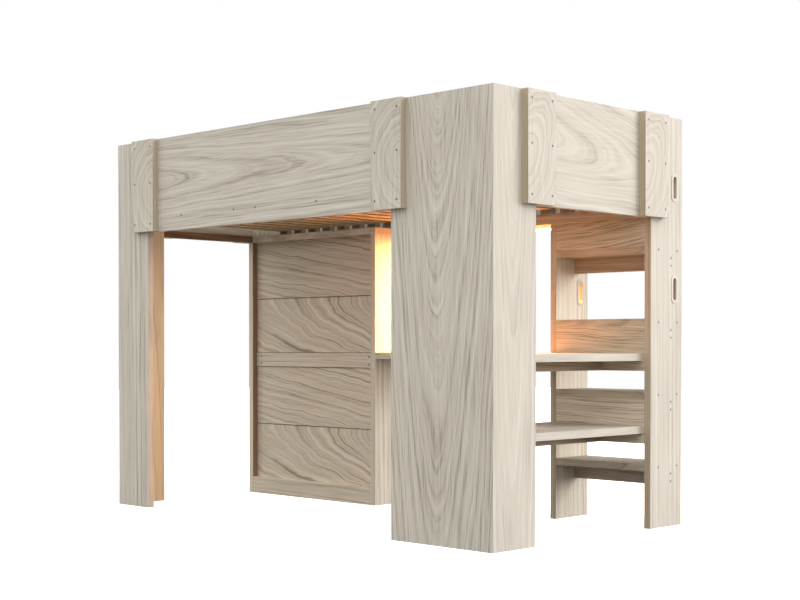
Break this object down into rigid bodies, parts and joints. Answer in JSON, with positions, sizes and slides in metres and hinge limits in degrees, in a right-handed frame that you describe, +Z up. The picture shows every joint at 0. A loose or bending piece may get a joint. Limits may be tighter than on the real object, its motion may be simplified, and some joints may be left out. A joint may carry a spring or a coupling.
{
  "type": "cabin bed",
  "caption": "Mid-height wooden cabin bed with a side ladder tower, tower shelves, a desk with a lit ledge above it and an open-backed wardrobe under a slatted base.",
  "frame": {"origin": "middle of the box round the whole bed, on the floor", "axes": "+X along the bed to the ladder end, +Y from the closed guard rail to the desk side, +Z up"},
  "size_m": [2.129, 1.097, 1.505],
  "materials": {
    "corner_front": "pale oak grain, matt lacquered",
    "corner_side": "pale oak grain, matt lacquered",
    "left_leg": "pale oak grain, matt lacquered",
    "ladder_outer": "pale oak grain, matt lacquered",
    "ladder_inner": "pale oak grain, matt lacquered",
    "front_rail": "pale oak grain, matt lacquered",
    "right_rail": "pale oak grain, matt lacquered",
    "left_rail": "pale oak grain, matt lacquered",
    "back_guard": "pale oak grain, matt lacquered",
    "front_cleats": "pale oak grain, matt lacquered",
    "end_cleats": "pale oak grain, matt lacquered",
    "battens": "pale oak grain, matt lacquered",
    "slats": "pale oak grain, matt lacquered",
    "slat_supports": "matt moulded",
    "wardrobe_sides": "pale oak grain, matt lacquered",
    "wardrobe_shelves": "pale oak grain, matt lacquered",
    "wardrobe_planks": "pale oak grain, matt lacquered",
    "wardrobe_rails": "pale oak grain, matt lacquered",
    "wardrobe_uprights": "pale oak grain, matt lacquered",
    "desk": "pale oak grain, matt lacquered",
    "ledge": "pale oak grain, matt lacquered",
    "light_profile": "satin extruded",
    "light_diffuser": "opal, lit warm white",
    "tower_shelves": "pale oak grain, matt lacquered",
    "shelf_bearers": "pale oak grain, matt lacquered",
    "treads": "pale oak grain, matt lacquered",
    "tread_rails": "pale oak grain, matt lacquered",
    "closing_boards": "pale oak grain, matt lacquered",
    "screws": "zinc plated",
    "dowels": "pale oak grain, matt lacquered"
  },
  "bodies": {
    "root": {"corner_front_board": "corner_front", "corner_side_board": "corner_side", "left_leg_front_board": "left_leg", "left_leg_side_board": "left_leg", "ladder_outer_board": "ladder_outer", "ladder_inner_board": "ladder_inner", "front_guard_rail": "front_rail", "right_guard_rail": "right_rail", "left_guard_rail": "left_rail", "back_guard_board": "back_guard", "front_right_cleat": "front_cleats", "front_left_cleat": "front_cleats", "right_near_cleat": "end_cleats", "right_far_cleat": "end_cleats", "left_near_cleat": "end_cleats", "left_far_cleat": "end_cleats", "front_slat_batten": "battens", "back_slat_batten": "battens", "base_strip": "battens", "slats": "slats", "slat_supports": "slat_supports", "wardrobe_left_side": "wardrobe_sides", "wardrobe_right_side": "wardrobe_sides", "wardrobe_top": "wardrobe_shelves", "wardrobe_floor": "wardrobe_shelves", "wardrobe_shelf": "wardrobe_shelves", "wardrobe_plinth": "wardrobe_rails", "wardrobe_plank_1": "wardrobe_planks", "wardrobe_plank_2": "wardrobe_planks", "wardrobe_mid_rail": "wardrobe_rails", "wardrobe_plank_3": "wardrobe_planks", "wardrobe_plank_4": "wardrobe_planks", "wardrobe_left_upright": "wardrobe_uprights", "wardrobe_right_upright": "wardrobe_uprights", "desk_top": "desk", "ledge_board": "ledge", "light_profile": "light_profile", "light_diffuser": "light_diffuser", "tower_shelf_lower": "tower_shelves", "tower_shelf_upper": "tower_shelves", "shelf_bearer_lower": "shelf_bearers", "shelf_bearer_upper": "shelf_bearers", "ladder_tread_1": "treads", "ladder_tread_2": "treads", "ladder_tread_3": "treads", "ladder_tread_4": "treads", "tread_rail_1": "tread_rails", "tread_rail_2": "tread_rails", "tread_rail_3": "tread_rails", "tread_rail_4": "tread_rails", "closing_board_2": "closing_boards", "closing_board_3": "closing_boards", "closing_board_4": "closing_boards", "screws": "screws", "dowels": "dowels"}
  },
  "joints": []
}
